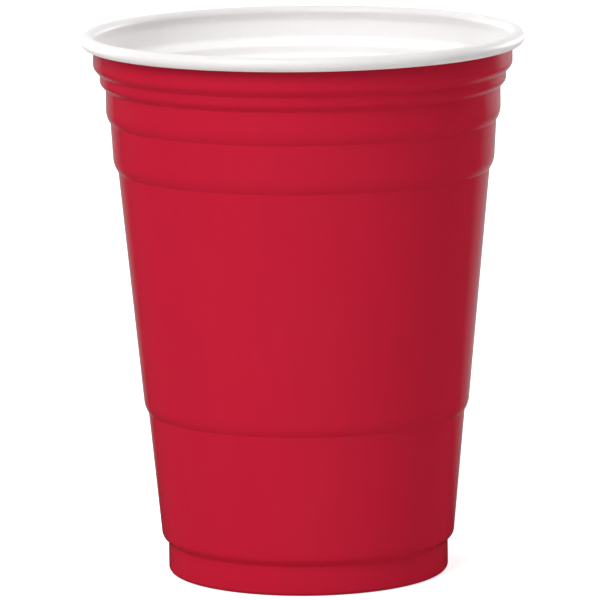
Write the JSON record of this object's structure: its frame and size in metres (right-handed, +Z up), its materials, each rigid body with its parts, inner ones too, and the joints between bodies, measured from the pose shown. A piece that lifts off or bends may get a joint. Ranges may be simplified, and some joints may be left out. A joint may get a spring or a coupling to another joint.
{
  "type": "plastic party cup",
  "caption": "Disposable party cup drawn from one plastic sheet: tapered stepped wall, recessed base and an outward curled lip; stands on its foot and holds a cold drink.",
  "frame": {"origin": "centre of the foot, on the surface the cup stands on", "axes": "+Z up along the cup's own axis; X and Y are free, because the cup is a body of revolution"},
  "size_m": [0.095, 0.095, 0.117],
  "materials": {
    "cup_sheet": "glossy red outer face and white inner face and lip of one two-colour sheet"
  },
  "bodies": {
    "root": {"cup": "cup_sheet"}
  },
  "joints": []
}
